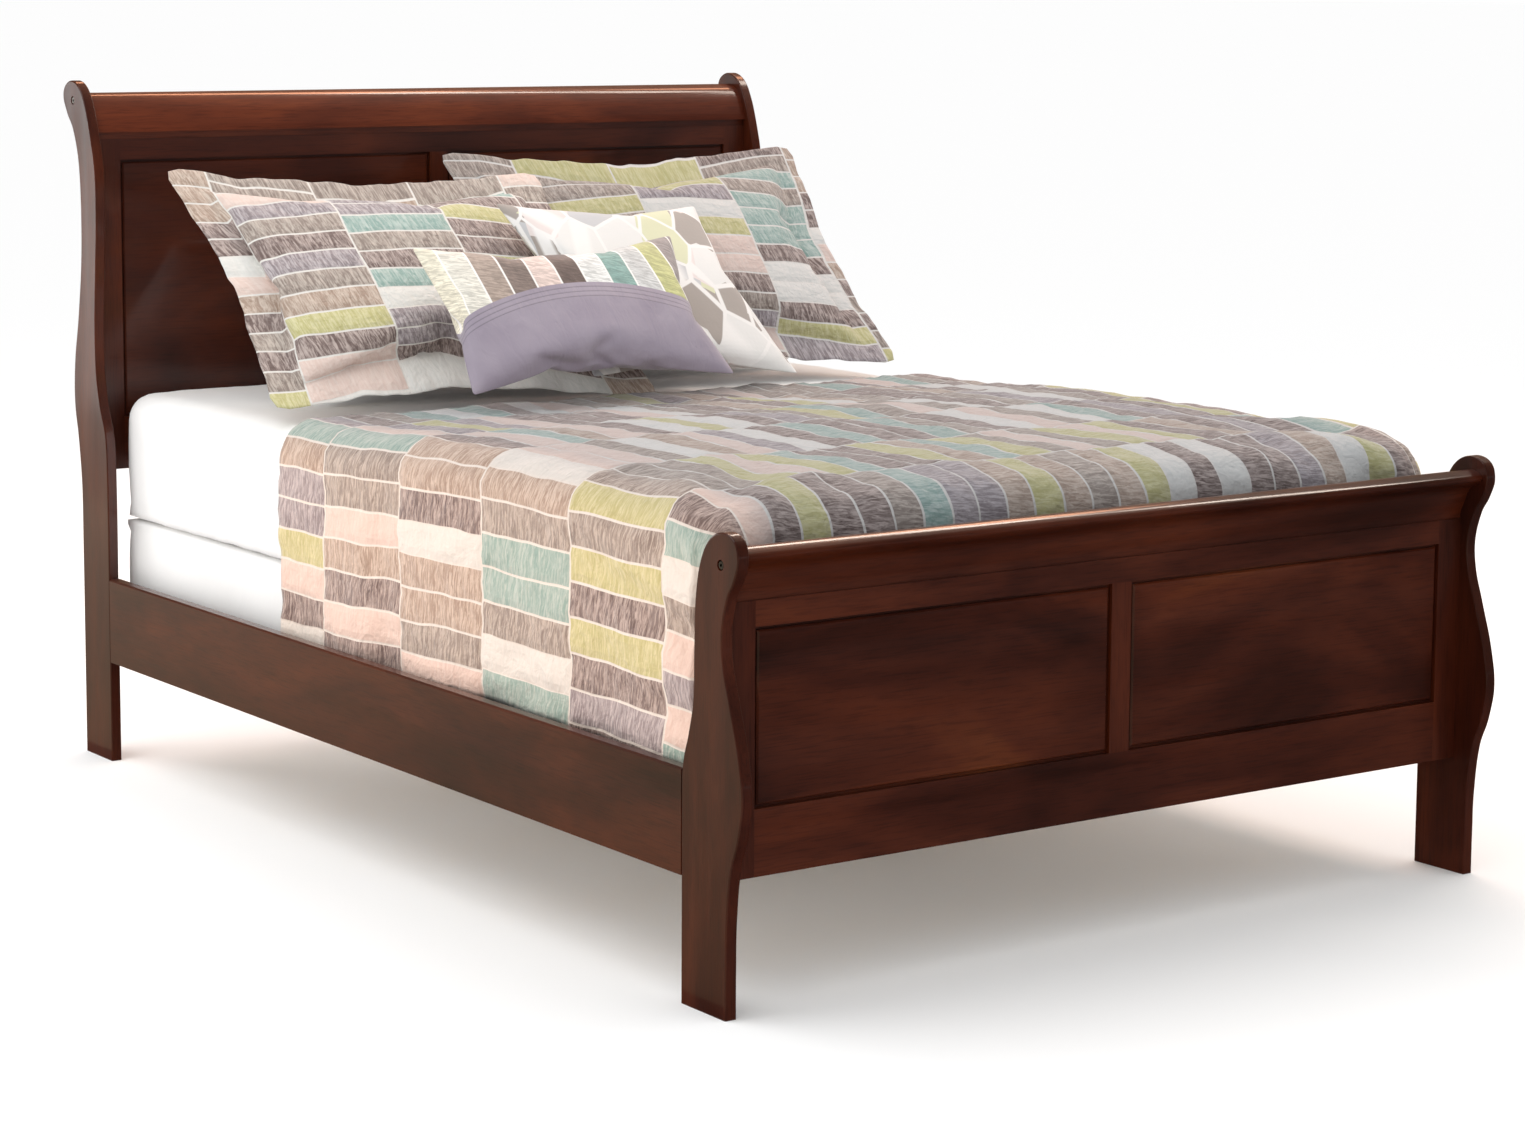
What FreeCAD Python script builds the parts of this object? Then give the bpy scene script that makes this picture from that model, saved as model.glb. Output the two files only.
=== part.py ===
import FreeCAD, Part
import math
import os
import Sketcher
from FreeCAD import Vector

# A full-size sleigh bed. X runs across the bed, +Y towards the headboard, +Z up.
# The origin is on the floor, in the middle of the bed's overall box. Sizes are in millimetres.

os.makedirs("parts", exist_ok=True)
doc = FreeCAD.newDocument("sleigh_bed")
sheet = doc.addObject("Spreadsheet::Sheet", "sheet")

drivingSizes = {
    "bed_width": 1448,            # over the outer faces of the posts
    "bed_length": 2137,           # over the rolled tops of the two ends
    "post_thick": 19,
    "post_round": 2.5,            # eased edge of the posts
    "head_reach": 53,             # roll of the headboard behind its leg
    "foot_reach": 37,             # belly of the footboard post ahead of its leg
    "leg_depth": 108,
    "frame_thick": 20,            # stiles and rails of the two ends
    "head_plane": 40,             # bed side of the headboard's frame, from its leg's back edge
    "foot_plane": 29,             # outer side of the footboard's frame, from its leg's front edge
    "stile_width": 48,
    "mullion_width": 38,
    "strip_height": 37,           # rail above the panels
    "head_rail_low": 520,
    "head_panel_low": 614,
    "head_panel_high": 1078,
    "foot_rail_low": 185,
    "foot_panel_low": 280,
    "foot_panel_high": 533,
    "tongue": 8,                  # panel edge held in its groove
    "tongue_back": 4.5,           # wood behind the tongue
    "panel_recess": 1.5,
    "quirk_width": 5,             # sunk line round each panel
    "quirk_depth": 6,
    "rail_low": 181,
    "rail_height": 151,
    "rail_thick": 22,
    "rail_gap": 0.8,              # hairline between a rail's end and the post
    "cleat_low": 184,
    "cleat_side": 29,
    "slat_thick": 19,
    "slat_wide": 89,
    "slat_count": 5,
    "plate_thick": 3,
    "bolt_radius": 3,
    "bolt_head_radius": 5.5,
    "bolt_head_deep": 6,
    "counterbore_radius": 7.5,
    "mattress_wide": 1360,
    "mattress_long": 1905,
    "mattress_tall": 229,
    "foundation_tall": 203,
    "mattress_gap": 80,           # from the footboard leg's front edge
    "comforter_thick": 14,
    "comforter_head": 735,        # head edge of the comforter, from the headboard leg's back edge
}
for row, (alias, number) in enumerate(drivingSizes.items(), 1):
    sheet.set("A%d" % row, alias)
    sheet.set("B%d" % row, str(number))
    sheet.setAlias("B%d" % row, alias)
doc.recompute()


def size(alias):
    return float(sheet.get(alias))


halfWide = size("bed_width") / 2
footLine = -size("bed_length") / 2 + size("foot_reach")   # front edge of the footboard's legs
headLine = size("bed_length") / 2 - size("head_reach")    # back edge of the headboard's legs
insideWide = size("bed_width") - 2 * size("post_thick")

footAt = "(-sheet.bed_length / 2 + sheet.foot_reach)"
headAt = "(sheet.bed_length / 2 - sheet.head_reach)"
leftIn = "(-sheet.bed_width / 2 + sheet.post_thick)"
made = []


def keep(item, label):
    item.Label = label
    made.append(item)
    return item


def box(label, corner, sides, final=True):
    """A block whose corner and sides are expressions in the sheet's sizes."""
    block = doc.addObject("Part::Box", label)
    for name, formula in zip(("Length", "Width", "Height"), sides):
        block.setExpression(name, formula)
    for name, formula in zip("xyz", corner):
        block.setExpression("Placement.Base." + name, formula)
    return keep(block, label) if final else block


def cut(label, base, tools, final=True):
    doc.recompute()
    tool = tools[0]
    if len(tools) > 1:
        tool = doc.addObject("Part::MultiFuse", label + "_tools")
        tool.Shapes = tools
    piece = doc.addObject("Part::Cut", label)
    piece.Base = base
    piece.Tool = tool
    return keep(piece, label) if final else piece


def rod(label, start, along, radius, length, final=False):
    """A round bar from a start point along an axis; radius and length are expressions."""
    bar = doc.addObject("Part::Cylinder", label)
    bar.setExpression("Radius", radius)
    bar.setExpression("Height", length)
    bar.Placement = FreeCAD.Placement(start, FreeCAD.Rotation(Vector(0, 0, 1), along))
    return keep(bar, label) if final else bar


def group(label, members):
    """Identical fasteners share one node as separate solids."""
    doc.recompute()
    bundle = doc.addObject("Part::Compound", label)
    bundle.Links = members
    return keep(bundle, label)


def bodyWithSketch(label, role):
    body = doc.addObject("PartDesign::Body", label)
    plane = [p for p in body.Origin.OriginFeatures if p.Role == role][0]
    sketch = body.newObject("Sketcher::SketchObject", label + "_outline")
    sketch.AttachmentSupport = [(plane, "")]
    sketch.MapMode = "FlatFace"
    return body, sketch, plane


def pad(body, sketch, length):
    feature = body.newObject("PartDesign::Pad", body.Name + "_pad")
    feature.Profile = sketch
    feature.setExpression("Length", length)
    sketch.Visibility = False
    body.Tip = feature
    doc.recompute()
    return feature


def halfArc(start, finish, heading, atFinish):
    """The arc between two points that has the heading at its start, or at its finish."""
    chord = finish - start
    swing = math.atan2(heading.x * chord.y - heading.y * chord.x, heading.dot(chord))
    if atFinish:
        swing = -swing
    if abs(swing) < 1e-4:
        return Part.LineSegment(start, finish)
    aside = Vector(chord.y, -chord.x, 0).normalize()
    crown = (start + finish) * 0.5 + aside * (chord.Length / 2 * math.tan(swing / 2))
    return Part.Arc(start, crown, finish)


def arcChain(outline, leaving, arriving):
    """A smooth line of arcs, two between each pair of points, with no kink where they meet."""
    points = [Vector(y, z, 0) for y, z in outline]
    headings = [(points[n + 1] - points[n - 1]).normalize() for n in range(1, len(points) - 1)]
    headings = [Vector(*leaving, 0).normalize()] + headings + [Vector(*arriving, 0).normalize()]
    arcs = []
    for n in range(len(points) - 1):
        start, finish, first, last = points[n], points[n + 1], headings[n], headings[n + 1]
        chord = finish - start
        both = first + last
        bend = 2 * (1 - first.dot(last))
        if bend < 1e-9:
            reach = chord.dot(chord) / (4 * chord.dot(last))
        else:
            across = chord.dot(both)
            reach = (math.sqrt(across ** 2 + bend * chord.dot(chord)) - across) / bend
        middle = (start + finish + (first - last) * reach) * 0.5
        arcs += [halfArc(start, middle, first, False), halfArc(middle, finish, last, True)]
    return arcs


def closedOutline(sketch, curved, leaving, arriving, corners):
    """A curved run closed by straight lines through the corners."""
    for arc in arcChain(curved, leaving, arriving):
        sketch.addGeometry(arc, False)
    straight = [Vector(y, z, 0) for y, z in [curved[-1]] + corners + [curved[0]]]
    for start, finish in zip(straight, straight[1:]):
        sketch.addGeometry(Part.LineSegment(start, finish), False)


up, down = (0, 1), (0, -1)


def roundedPad(body, base, thick):
    """Eases the long edges on both faces of a board that stands across X."""
    ends = (0, thick)
    names = []
    for number, edge in enumerate(base.Shape.Edges, 1):
        span = edge.BoundBox
        flat = span.XLength < 0.01 and min(abs(span.XMin - e) for e in ends) < 0.01
        if flat and span.ZMax > 1:
            names.append("Edge%d" % number)
    fillet = body.newObject("PartDesign::Fillet", body.Name + "_round")
    fillet.Base = (base, names)
    fillet.setExpression("Radius", "sheet.post_round")
    body.Tip = fillet
    doc.recompute()
    return fillet


# ---- posts: one flat S-shaped board each, leg and rolled top in one
legDepth = size("leg_depth")
footCentre = (footLine + 17, 626)
headCentre = (headLine + 10, 1183)


footOutline = [(0, 0), (0, 60), (-1, 130), (-10, 207), (-28, 258), (-37, 311), (-27, 372), (-6, 439),
               (10, 490), (13.5, 535), (2, 580), (-15, 609), (-24, 637), (-15, 662), (14, 671), (45, 658),
               (66, 625), (77, 575), (80, 500), (82, 430), (93, 382), (103, 352), (107.6, 325),
               (legDepth, 290), (legDepth, 150), (legDepth, 0)]
headOutline = [(-legDepth, 0), (-legDepth, 250), (-legDepth, 500), (-103, 585), (-82, 640), (-68, 700),
               (-66, 790), (-73, 890), (-79, 985), (-76, 1062), (-61, 1120), (-43, 1168), (-20, 1203),
               (12, 1218), (41, 1210), (51, 1190), (38, 1162), (12, 1130), (-8, 1075), (-15, 990),
               (-12, 895), (3, 798), (22, 710), (25, 640), (11, 570), (1, 490), (0, 380), (0, 190), (0, 0)]


def post(label, outline, line, centre, side):
    """side is -1 at the left and 1 at the right; the bolt's counterbore opens on the outer face."""
    body, sketch, plane = bodyWithSketch(label, "YZ_Plane")
    closedOutline(sketch, [(line + y, z) for y, z in outline], up, down, [])
    doc.recompute()
    board = pad(body, sketch, "sheet.post_thick")
    board = roundedPad(body, board, size("post_thick"))
    outer = 0 if side < 0 else size("post_thick")
    for kind, radius, deep in (("bore", "sheet.counterbore_radius", "sheet.bolt_head_deep"),
                               ("hole", "(sheet.bolt_radius + 0.2)", "sheet.post_thick + 2")):
        ring = body.newObject("Sketcher::SketchObject", label + "_" + kind)
        ring.AttachmentSupport = [(plane, "")]
        ring.MapMode = "FlatFace"
        ring.AttachmentOffset = FreeCAD.Placement(Vector(0, 0, outer), FreeCAD.Rotation())
        ring.addGeometry(Part.Circle(Vector(centre[0], centre[1], 0), Vector(0, 0, 1), 5), False)
        ring.addConstraint(Sketcher.Constraint("Radius", 0, 5))
        ring.setExpression("Constraints[0]", radius)
        doc.recompute()
        before = body.Shape.Volume
        pocket = body.newObject("PartDesign::Pocket", label + "_" + kind + "_cut")
        pocket.Profile = ring
        pocket.setExpression("Length", deep)
        pocket.Reversed = side < 0
        body.Tip = pocket
        doc.recompute()
        if body.Shape.Volume > before - 1:
            raise RuntimeError(label + ": the " + kind + " cut nothing")
    body.Placement.Base = Vector(-halfWide if side < 0 else halfWide - size("post_thick"), 0, 0)
    return keep(body, label)


for sideName, side in (("left", -1), ("right", 1)):
    post("headboard_post_" + sideName, headOutline, headLine, headCentre, side)
    post("footboard_post_" + sideName, footOutline, footLine, footCentre, side)


# ---- crests: the moulded top rails, rolled outwards with a hollow under the nose
def crest(label, line, outward, noseAt, outerAt, innerAt, lipAt, top, base):
    """Distances run outwards from the leg's outer edge; the lip overhangs the frame on the bed side."""
    body, sketch, plane = bodyWithSketch(label, "YZ_Plane")
    low = top - 69                # underside of the lip
    cheek = outerAt - 2           # where the hollow meets the frame
    curved = [(lipAt, low), (lipAt + 8, low + 23), (lipAt + 19, low + 45), (lipAt + 36, low + 62),
              (noseAt - 24, top), (noseAt - 8, top - 4), (noseAt, top - 12), (noseAt - 5, top - 19),
              (noseAt - 26, top - 33), (cheek + 9, top - 52), (cheek, base + 5)]
    corners = [(cheek, base), (innerAt + 4, base), (innerAt + 4, low)]
    placed = [[(line + outward * u, z) for u, z in run] for run in (curved, corners)]
    closedOutline(sketch, placed[0], (outward * 0.2, 1), down, placed[1])
    doc.recompute()
    pad(body, sketch, "sheet.bed_width - 2 * sheet.post_thick")
    body.Placement.Base = Vector(-insideWide / 2, 0, 0)
    return body


headBase = size("head_panel_high") + size("strip_height")
footBase = size("foot_panel_high") + size("strip_height")
headBodies = crest("headboard_crest_blank", headLine, 1, 40, -size("head_plane") + size("frame_thick"),
                   -size("head_plane"), -48, 1196, headBase)
footBodies = crest("footboard_crest_blank", footLine, -1, 13, -size("foot_plane"),
                   -size("foot_plane") - size("frame_thick"), -60, 650, footBase)
boltReach = 45
for label, blank, centre in (("headboard_crest", headBodies, headCentre),
                             ("footboard_crest", footBodies, footCentre)):
    holes = []
    for n, x in enumerate((-insideWide / 2, insideWide / 2)):
        holes.append(rod(label + "_hole_%d" % n, Vector(x, centre[0], centre[1]), Vector(-x, 0, 0),
                         "sheet.bolt_radius", str(boltReach)))
    cut(label, blank, holes)

# ---- bolts that hold each crest to its posts, heads sunk in the counterbores
for label, centre in (("headboard_bolts", headCentre), ("footboard_bolts", footCentre)):
    bolts = []
    for side in (-1, 1):
        inward = Vector(-side, 0, 0)
        headFace = side * (halfWide - 1)
        shankFrom = side * (halfWide - size("bolt_head_deep"))
        tag = label + ("_l" if side < 0 else "_r")
        head = rod(tag + "_head", Vector(headFace, centre[0], centre[1]), inward,
                   "sheet.bolt_head_radius", "sheet.bolt_head_deep - 1")
        shank = rod(tag + "_shank", Vector(shankFrom, centre[0], centre[1]), inward,
                    "sheet.bolt_radius", "sheet.post_thick - sheet.bolt_head_deep + %d" % (boltReach - 2))
        socket = doc.addObject("Part::Prism", tag + "_socket")
        socket.Polygon = 6
        socket.Circumradius = 2.6
        socket.Height = 3
        socket.Placement = FreeCAD.Placement(Vector(headFace, centre[0], centre[1]),
                                             FreeCAD.Rotation(Vector(0, 0, 1), inward))
        solid = doc.addObject("Part::MultiFuse", tag + "_solid")
        solid.Shapes = [head, shank]
        bolts.append(cut(tag, solid, [socket], final=False))
    group(label, bolts)


# ---- framed ends: stiles, rails and a mullion grooved for two panels
def framedEnd(end, plane, low, panelLow, panelHigh, top):
    """plane is the expression of the frame's lower Y face, its show side."""
    deep = "sheet.frame_thick"
    wide = "sheet.stile_width"
    clear = "(sheet.bed_width - 2 * sheet.post_thick)"
    inner = "(%s - 2 * %s)" % (clear, wide)
    openWide = "((%s - sheet.mullion_width) / 2)" % inner
    xLeft = "(%s + %s)" % (leftIn, wide)
    xRight = "(sheet.mullion_width / 2)"
    tongueThick = "(sheet.frame_thick - sheet.tongue_back - sheet.panel_recess - sheet.quirk_depth)"
    tongueY = "(%s + sheet.panel_recess + sheet.quirk_depth)" % plane
    slots = {}
    for side, x in (("left", xLeft), ("right", xRight)):
        slots[side] = (("%s - sheet.tongue" % x, tongueY, "%s - sheet.tongue" % panelLow),
                       ("%s + 2 * sheet.tongue" % openWide, tongueThick,
                        "%s - %s + 2 * sheet.tongue" % (panelHigh, panelLow)))

    def member(name, corner, sides, grooves):
        label = end + "_" + name
        blank = box(label + "_blank", corner, sides, final=False)
        tools = [box(label + "_slot_" + g, *slots[g], final=False) for g in grooves]
        cut(label, blank, tools)

    tall = "(%s - %s)" % (top, low)
    member("stile_left", (leftIn, plane, low), (wide, deep, tall), ["left"])
    member("stile_right", ("(-1 * %s - %s)" % (leftIn, wide), plane, low), (wide, deep, tall), ["right"])
    lowTall = "%s - %s" % (panelLow, low)
    member("bottom_rail", (xLeft, plane, low), (inner, deep, lowTall), ["left", "right"])
    upperTall = "%s - %s" % (top, panelHigh)
    member("upper_rail", (xLeft, plane, panelHigh), (inner, deep, upperTall), ["left", "right"])
    member("mullion", ("(-1 * sheet.mullion_width / 2)", plane, panelLow),
           ("sheet.mullion_width", deep, "%s - %s" % (panelHigh, panelLow)), ["left", "right"])
    for side, x in (("left", xLeft), ("right", xRight)):
        tonguePlate = box("%s_panel_%s_tongue" % (end, side), *slots[side], final=False)
        field = box("%s_panel_%s_field" % (end, side),
                    ("%s + sheet.quirk_width" % x, "%s + sheet.panel_recess" % plane,
                     "%s + sheet.quirk_width" % panelLow),
                    ("%s - 2 * sheet.quirk_width" % openWide, "sheet.quirk_depth + 1",
                     "%s - %s - 2 * sheet.quirk_width" % (panelHigh, panelLow)), final=False)
        doc.recompute()
        faceAt = field.Shape.BoundBox.YMin
        shown = ["Edge%d" % n for n, e in enumerate(field.Shape.Edges, 1)
                 if e.BoundBox.YMax < faceAt + 0.01]
        eased = doc.addObject("Part::Chamfer", "%s_panel_%s_eased" % (end, side))
        eased.Base = field
        eased.Edges = [(int(name[4:]), 2.5, 2.5) for name in shown]
        panel = doc.addObject("Part::Fuse", "%s_panel_%s" % (end, side))
        panel.Base = tonguePlate
        panel.Tool = eased
        keep(panel, "%s_panel_%s" % (end, side))


framedEnd("headboard", "(%s - sheet.head_plane)" % headAt, "sheet.head_rail_low", "sheet.head_panel_low",
          "sheet.head_panel_high", "(sheet.head_panel_high + sheet.strip_height)")
framedEnd("footboard", "(%s + sheet.foot_plane)" % footAt, "sheet.foot_rail_low", "sheet.foot_panel_low",
          "sheet.foot_panel_high", "(sheet.foot_panel_high + sheet.strip_height)")

# ---- side rails, flush with the outer faces of the posts, their top edges eased
railFrom = footLine + legDepth + size("rail_gap")
railTo = headLine - legDepth - size("rail_gap")
railLong = "(%s - %s - 2 * sheet.leg_depth - 2 * sheet.rail_gap)" % (headAt, footAt)
for sideName, side in (("left", -1), ("right", 1)):
    label = "side_rail_" + sideName
    body, sketch, plane = bodyWithSketch(label, "XZ_Plane")
    thick, tall, ease = size("rail_thick"), size("rail_height"), 3
    corners = [(0, 0), (thick, 0), (thick, tall - ease), (thick - ease, tall), (ease, tall),
               (0, tall - ease)]
    for n, (x, z) in enumerate(corners):
        nextX, nextZ = corners[(n + 1) % len(corners)]
        sketch.addGeometry(Part.LineSegment(Vector(x, z, 0), Vector(nextX, nextZ, 0)), False)
    doc.recompute()
    pad(body, sketch, railLong)
    atX = -halfWide if side < 0 else halfWide - thick
    # the sketch plane faces -Y, so the pad runs towards the footboard
    body.Placement.Base = Vector(atX, railTo, size("rail_low"))
    keep(body, label)

# ---- ledger strips inside the side rails, and their screws
cleatEnd = 70
railInner = "(sheet.bed_width / 2 - sheet.rail_thick)"
for sideName, side in (("left", -1), ("right", 1)):
    x = "(-1 * %s)" % railInner if side < 0 else "(%s - sheet.cleat_side)" % railInner
    box("side_cleat_" + sideName, (x, "%s + sheet.leg_depth + %d" % (footAt, cleatEnd), "sheet.cleat_low"),
        ("sheet.cleat_side", "%s - %d" % (railLong, 2 * cleatEnd), "sheet.cleat_side"))

deckLow = size("cleat_low") + size("cleat_side")
deckTop = deckLow + size("slat_thick")


def screw(tag, point, along, length, radius=2.0, headRadius=4.2, headTall=1.6):
    """A pan-head screw that stands with its head's underside at the point."""
    head = rod(tag + "_head", point - along * headTall, along, str(headRadius), str(headTall))
    shank = rod(tag + "_shank", point, along, str(radius), str(length))
    solid = doc.addObject("Part::Fuse", tag)
    solid.Base = head
    solid.Tool = shank
    return solid


def drilled(label, holes):
    """Takes a kept piece and replaces it by the same piece with screw holes."""
    piece = [m for m in made if m.Label == label][0]
    made.remove(piece)
    piece.Label = label + "_undrilled"
    cut(label, piece, holes)


cleatScrews = []
cleatHoles = {"left": [], "right": []}
screwCount = 8
for sideName, side in (("left", -1), ("right", 1)):
    for n in range(screwCount):
        y = railFrom + 110 + n * (railTo - railFrom - 220) / (screwCount - 1)
        start = Vector(side * (halfWide - size("rail_thick") - size("cleat_side")), y,
                       size("cleat_low") + size("cleat_side") / 2)
        tag = "cleat_screw_%s_%d" % (sideName, n)
        outward = Vector(side, 0, 0)
        cleatScrews.append(screw(tag, start, outward, size("cleat_side") + 12))
        cleatHoles[sideName].append(rod(tag + "_hole", start, outward, "2.0", str(size("cleat_side") + 12)))
    drilled("side_cleat_" + sideName, cleatHoles[sideName])
    drilled("side_rail_" + sideName, cleatHoles[sideName])
group("cleat_screws", cleatScrews)

# ---- slats across the ledger strips, screwed down at both ends
slatCount = int(size("slat_count"))
slatWide = size("slat_wide")
slatFrom = railFrom + 100
slatStep = (railTo - railFrom - 200 - slatWide) / (slatCount - 1)
sinkDeep = 1.8
slatScrewLong = 38
slatScrewX = halfWide - size("rail_thick") - size("cleat_side") / 2
downward = Vector(0, 0, -1)
slatScrews = []
for n in range(slatCount):
    y = slatFrom + n * slatStep
    label = "slat_%d" % (n + 1)
    box(label, ("-1 * (%s - 4)" % railInner, str(y), "sheet.cleat_low + sheet.cleat_side"),
        ("2 * (%s - 4)" % railInner, "sheet.slat_wide", "sheet.slat_thick"))
    for sideName, side in (("left", -1), ("right", 1)):
        start = Vector(side * slatScrewX, y + slatWide / 2, deckTop)
        tag = "slat_screw_%s_%d" % (sideName, n + 1)
        hole = rod(tag + "_hole", start, downward, "2.0", str(slatScrewLong + sinkDeep))
        sink = rod(tag + "_sink", start, downward, "4.2", str(sinkDeep))
        slatScrews.append(screw(tag, start + downward * sinkDeep, downward, slatScrewLong))
        drilled(label, [hole, sink])
        drilled("side_cleat_" + sideName, [hole])
group("slat_screws", slatScrews)

# ---- bed-rail fasteners: a hooked plate on each rail end and a slotted plate on each post
plateLow = size("rail_low") + 22
plateTall = 105
plateStep = 18      # the slotted plate stands this far above and below the hooked one
hookWide = 5
plateScrews = []
for sideName, side in (("left", -1), ("right", 1)):
    for endName, edge, inward in (("foot", railFrom, 1), ("head", railTo, -1)):
        tag = "%s_%s" % (endName, sideName)
        thick = size("plate_thick")
        faceX = halfWide - size("post_thick") - thick    # bed side of the slotted plate
        slotted = doc.addObject("Part::Box", "slotted_plate_blank_" + tag)
        slotted.setExpression("Length", "sheet.plate_thick")
        slotted.Width = 46
        slotted.Height = plateTall
        xLow = faceX if side > 0 else -faceX - thick
        yLow = edge - 52 if inward > 0 else edge + 6
        slotted.Placement.Base = Vector(xLow, yLow, plateLow)
        hooked = doc.addObject("Part::Box", "hooked_plate_blank_" + tag)
        hooked.setExpression("Length", "sheet.plate_thick")
        hooked.Width = 96
        hooked.Height = plateTall - 2 * plateStep
        hookX = faceX - thick if side > 0 else -faceX
        hookY = edge - 46 if inward > 0 else edge - 50
        hooked.Placement.Base = Vector(hookX, hookY, plateLow + plateStep)
        slots = []
        hooks = [hooked]
        hookMiddle = yLow + 23
        for k, z in enumerate((plateLow + 22, plateLow + 64)):
            slot = doc.addObject("Part::Box", "slot_%s_%d" % (tag, k))
            slot.setExpression("Length", "sheet.plate_thick")
            slot.Width = hookWide + 2
            slot.Height = 26
            slot.Placement.Base = Vector(xLow, hookMiddle - hookWide / 2 - 1, z - 3)
            slots.append(slot)
            hook = doc.addObject("Part::Box", "hook_%s_%d" % (tag, k))
            hook.setExpression("Length", "sheet.plate_thick")
            hook.Width = hookWide
            hook.Height = 18
            hook.Placement.Base = Vector(xLow, hookMiddle - hookWide / 2, z)
            hooks.append(hook)
        plateHoles = []
        postHoles = []
        for k, z in enumerate((plateLow + 9, plateLow + plateTall - 9)):
            start = Vector(side * faceX, hookMiddle + 13 * inward, z)
            plateScrews.append(screw("post_screw_%s_%d" % (tag, k), start, Vector(side, 0, 0), thick + 14,
                                     headTall=1.4))
            hole = rod("post_screw_hole_%s_%d" % (tag, k), start, Vector(side, 0, 0), "2.0",
                       str(thick + 14))
            plateHoles.append(hole)
            postHoles.append(hole)
        railHoles = []
        for k, (dy, dz) in enumerate(((22, 26), (38, 26), (22, 78), (38, 78))):
            start = Vector(side * (faceX - thick), edge + inward * dy, plateLow + dz)
            plateScrews.append(screw("rail_screw_%s_%d" % (tag, k), start, Vector(side, 0, 0), thick + 15,
                                     headTall=1.4))
            railHoles.append(rod("rail_screw_hole_%s_%d" % (tag, k), start, Vector(side, 0, 0), "2.0",
                                 str(thick + 15)))
        cut("slotted_plate_" + tag, slotted, slots + plateHoles)
        fused = doc.addObject("Part::MultiFuse", "hooked_plate_fused_" + tag)
        fused.Shapes = hooks
        cut("hooked_plate_" + tag, fused, railHoles)
        boardEnd = "headboard" if endName == "head" else "footboard"
        drilled("%s_post_%s" % (boardEnd, sideName), postHoles)
        drilled("side_rail_" + sideName, railHoles)
group("plate_screws", plateScrews)


# ---- soft goods: plain closed solids of the right size and place
def cushionBlock(label, corner, sides, radius):
    """A block with rounded edges, such as a mattress."""
    block = box(label + "_block", corner, sides, final=False)
    doc.recompute()
    soft = doc.addObject("Part::Fillet", label)
    soft.Base = block
    soft.Edges = [(n, radius, radius) for n in range(1, 13)]
    return keep(soft, label)


gap = 0.5
foundationLow = deckTop + gap
mattressLow = foundationLow + size("foundation_tall") + gap
mattressTop = mattressLow + size("mattress_tall")
mattressFrom = footLine + size("mattress_gap")
mattressCorner = "%s + sheet.mattress_gap" % footAt
cushionBlock("foundation",
             ("-1 * sheet.mattress_wide / 2 + 4", mattressCorner + " + 4", str(foundationLow)),
             ("sheet.mattress_wide - 8", "sheet.mattress_long - 8", "sheet.foundation_tall"), 44)
cushionBlock("mattress", ("-1 * sheet.mattress_wide / 2", mattressCorner, str(mattressLow)),
             ("sheet.mattress_wide", "sheet.mattress_long", "sheet.mattress_tall"), 45)

# The comforter lies over the mattress and hangs down three sides, inside the side rails.
thick = size("comforter_thick")
hangLow = size("rail_low") + size("rail_height") - 22
coverHalf = size("mattress_wide") / 2 + gap
coverFrom = mattressFrom - gap
coverTo = headLine - size("comforter_head")
outerCover = doc.addObject("Part::Box", "comforter_outer")
outerCover.Length = 2 * (coverHalf + thick)
outerCover.Width = coverTo - coverFrom + thick
outerCover.Height = mattressTop + gap + thick - hangLow
outerCover.Placement.Base = Vector(-coverHalf - thick, coverFrom - thick, hangLow)
innerCover = doc.addObject("Part::Box", "comforter_inner")
innerCover.Length = 2 * coverHalf
innerCover.Width = coverTo - coverFrom + 10
innerCover.Height = mattressTop + gap - hangLow + 10
innerCover.Placement.Base = Vector(-coverHalf, coverFrom, hangLow - 10)


def easedTop(source, label, radius):
    """Rounds the top edges at the two sides and the foot, and the two foot corners."""
    doc.recompute()
    span = source.Shape.BoundBox
    picked = []
    for number, edge in enumerate(source.Shape.Edges, 1):
        e = edge.BoundBox
        atTop = e.ZMin > span.ZMax - 0.1 and e.YMin < span.YMax - 1
        atCorner = e.ZLength > 1 and e.YMax < span.YMin + 0.1
        if atTop or atCorner:
            picked.append((number, radius, radius))
    eased = doc.addObject("Part::Fillet", label)
    eased.Base = source
    eased.Edges = picked
    return eased


outerEased = easedTop(outerCover, "comforter_outer_eased", 58)
innerEased = easedTop(innerCover, "comforter_inner_eased", 45)
cut("comforter", outerEased, [innerEased])


def pillow(label, wide, tall, thick, seam, place, lean, turn=0, spin=0, flat=0.5):
    """A convex cushion: a thin seam all round the middle, swelling to a smaller flat on each face.

    place is the middle of the lower edge; lean tips the top back from upright; turn is about Z and
    spin is within the pillow's own plane, all in degrees.
    """
    layers = [(-thick / 2, flat), (-seam / 2, 1.0), (seam / 2, 1.0), (thick / 2, flat)]
    wires = []
    for y, share in layers:
        x, z = wide / 2 * share, tall / 2 * share
        corners = [Vector(-x, y, -z), Vector(x, y, -z), Vector(x, y, z), Vector(-x, y, z)]
        wires.append(Part.makePolygon(corners + corners[:1]))
    item = doc.addObject("Part::Feature", label)
    item.Shape = Part.makeLoft(wires, True, True)
    tilt = (FreeCAD.Rotation(Vector(0, 0, 1), turn) * FreeCAD.Rotation(Vector(1, 0, 0), -lean)
            * FreeCAD.Rotation(Vector(0, 1, 0), spin))
    middle = FreeCAD.Vector(*place) + tilt.multVec(Vector(0, 0, tall / 2))
    item.Placement = FreeCAD.Placement(middle, tilt)
    return keep(item, label)


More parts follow.
